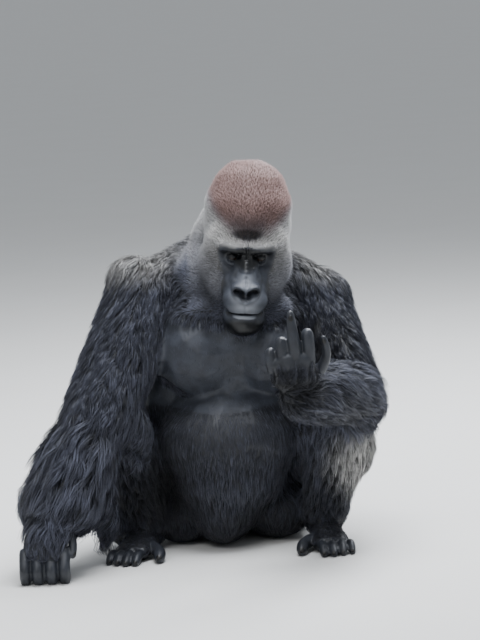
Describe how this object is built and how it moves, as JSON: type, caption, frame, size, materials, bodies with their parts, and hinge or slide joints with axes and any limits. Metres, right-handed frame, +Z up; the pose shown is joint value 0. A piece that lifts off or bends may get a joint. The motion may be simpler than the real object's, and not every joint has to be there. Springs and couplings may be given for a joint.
{
  "type": "silverback gorilla",
  "caption": "Life-size still model of a silverback western lowland gorilla, squatting with one arm propped on its knuckles and the other hand raised before the chest.",
  "frame": {"origin": "on the floor, below the middle of the whole figure's box", "axes": "+Z up; -Y is the way the animal faces, so its right side is at -X and its left side at +X"},
  "size_m": [0.9752, 0.8228, 1.0056],
  "materials": {
    "coat_black": "matt black hair",
    "coat_silver": "matt silver-grey hair",
    "coat_brown": "matt red-brown hair",
    "bare_skin": "dark grey wrinkled skin with a soft sheen",
    "eye_brown": "wet dark brown"
  },
  "bodies": {
    "root": {"belly": "coat_black", "big_toe_L": "bare_skin", "big_toe_R": "bare_skin", "chest": "coat_black", "ear_L": "bare_skin", "ear_R": "bare_skin", "eye_L": "eye_brown", "eye_R": "eye_brown", "foot_L": "coat_black", "foot_R": "coat_black", "forearm_L": "coat_black", "forearm_R": "coat_black", "hand_L": "coat_black", "hand_R": "coat_black", "head": "coat_brown", "index_L": "bare_skin", "index_R": "bare_skin", "little_L": "bare_skin", "little_R": "bare_skin", "middle_L": "bare_skin", "middle_R": "bare_skin", "neck": "coat_black", "pelvis": "coat_silver", "ring_L": "bare_skin", "ring_R": "bare_skin", "shank_L": "coat_black", "shank_R": "coat_black", "thigh_L": "coat_black", "thigh_R": "coat_black", "thumb_L": "bare_skin", "thumb_R": "bare_skin", "toe_2_L": "bare_skin", "toe_2_R": "bare_skin", "toe_3_L": "bare_skin", "toe_3_R": "bare_skin", "toe_4_L": "bare_skin", "toe_4_R": "bare_skin", "toe_5_L": "bare_skin", "toe_5_R": "bare_skin", "upper_arm_L": "coat_black", "upper_arm_R": "coat_black"}
  },
  "joints": []
}
